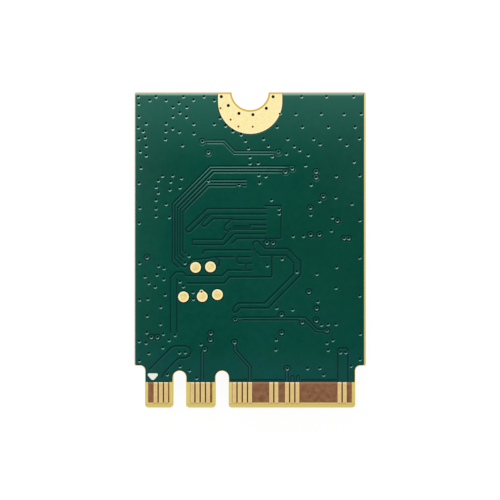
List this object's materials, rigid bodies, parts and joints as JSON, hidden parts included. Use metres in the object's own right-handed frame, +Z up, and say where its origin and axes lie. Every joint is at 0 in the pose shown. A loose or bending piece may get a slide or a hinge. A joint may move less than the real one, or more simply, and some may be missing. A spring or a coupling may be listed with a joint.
{
  "type": "laptop wifi card",
  "caption": "Small plug-in wireless network board for a laptop, with a keyed edge connector, a half-moon screw land, a shield can and two antenna jacks.",
  "frame": {"origin": "on the outer face of the shield lid, which the card lies on, under the centre of the 22 x 30 mm outline", "axes": "+Y from the edge contacts towards the mounting notch, +X to the right as one looks at the contact side, +Z up, out of the contact side"},
  "size_m": [0.022, 0.03, 0.0022],
  "materials": {
    "laminate": "bare glass-fibre laminate, yellow, with a satin surface",
    "solder_mask": "dark green solder mask, glossy",
    "land_gold": "thin gold plating over nickel, pale and fine-grained",
    "contact_gold": "hard gold plating over nickel, satin",
    "tinned_steel": "tin-plated sheet, satin",
    "jack_plastic": "moulded liquid-crystal polymer, matt",
    "jack_gold": "gold-plated phosphor bronze",
    "black_epoxy": "moulded epoxy package, matt",
    "ferrite": "pressed ferrite, matt",
    "ceramic": "fired ceramic, satin",
    "capacitor_body": "brown ceramic with tinned ends",
    "resistor_body": "black glazed ceramic with tinned ends"
  },
  "bodies": {
    "root": {"circuit_board": "laminate", "back_solder_mask": "solder_mask", "front_solder_mask": "solder_mask", "mounting_ring": "land_gold", "back_contact_02": "contact_gold", "back_contact_04": "contact_gold", "back_contact_06": "contact_gold", "back_contact_16": "contact_gold", "back_contact_18": "contact_gold", "back_contact_20": "contact_gold", "back_contact_22": "contact_gold", "back_contact_32": "contact_gold", "back_contact_34": "contact_gold", "back_contact_36": "contact_gold", "back_contact_38": "contact_gold", "back_contact_46": "contact_gold", "back_contact_48": "contact_gold", "back_contact_52": "contact_gold", "back_contact_54": "contact_gold", "back_contact_56": "contact_gold", "back_contact_72": "contact_gold", "back_contact_74": "contact_gold", "test_pad_1": "land_gold", "test_pad_2": "land_gold", "test_pad_3": "land_gold", "test_pad_4": "land_gold", "test_pad_5": "land_gold", "shield_frame": "tinned_steel", "shield_lid": "tinned_steel", "antenna_jack_left_base": "jack_plastic", "antenna_jack_left_shell": "jack_gold", "antenna_jack_left_pin": "jack_gold", "antenna_jack_right_base": "jack_plastic", "antenna_jack_right_shell": "jack_gold", "antenna_jack_right_pin": "jack_gold", "radio_chip": "black_epoxy", "front_end_module_left": "black_epoxy", "front_end_module_right": "black_epoxy", "power_inductor_1": "ferrite", "power_inductor_2": "ferrite", "crystal": "ceramic", "antenna_filter_left": "ceramic", "antenna_filter_right": "ceramic", "capacitor_01": "capacitor_body", "capacitor_02": "capacitor_body", "capacitor_03": "capacitor_body", "capacitor_04": "capacitor_body", "capacitor_05": "capacitor_body", "capacitor_06": "capacitor_body", "capacitor_07": "capacitor_body", "capacitor_08": "capacitor_body", "capacitor_09": "capacitor_body", "capacitor_10": "capacitor_body", "capacitor_11": "capacitor_body", "capacitor_12": "capacitor_body", "resistor_1": "resistor_body", "resistor_2": "resistor_body", "resistor_3": "resistor_body"}
  },
  "joints": []
}
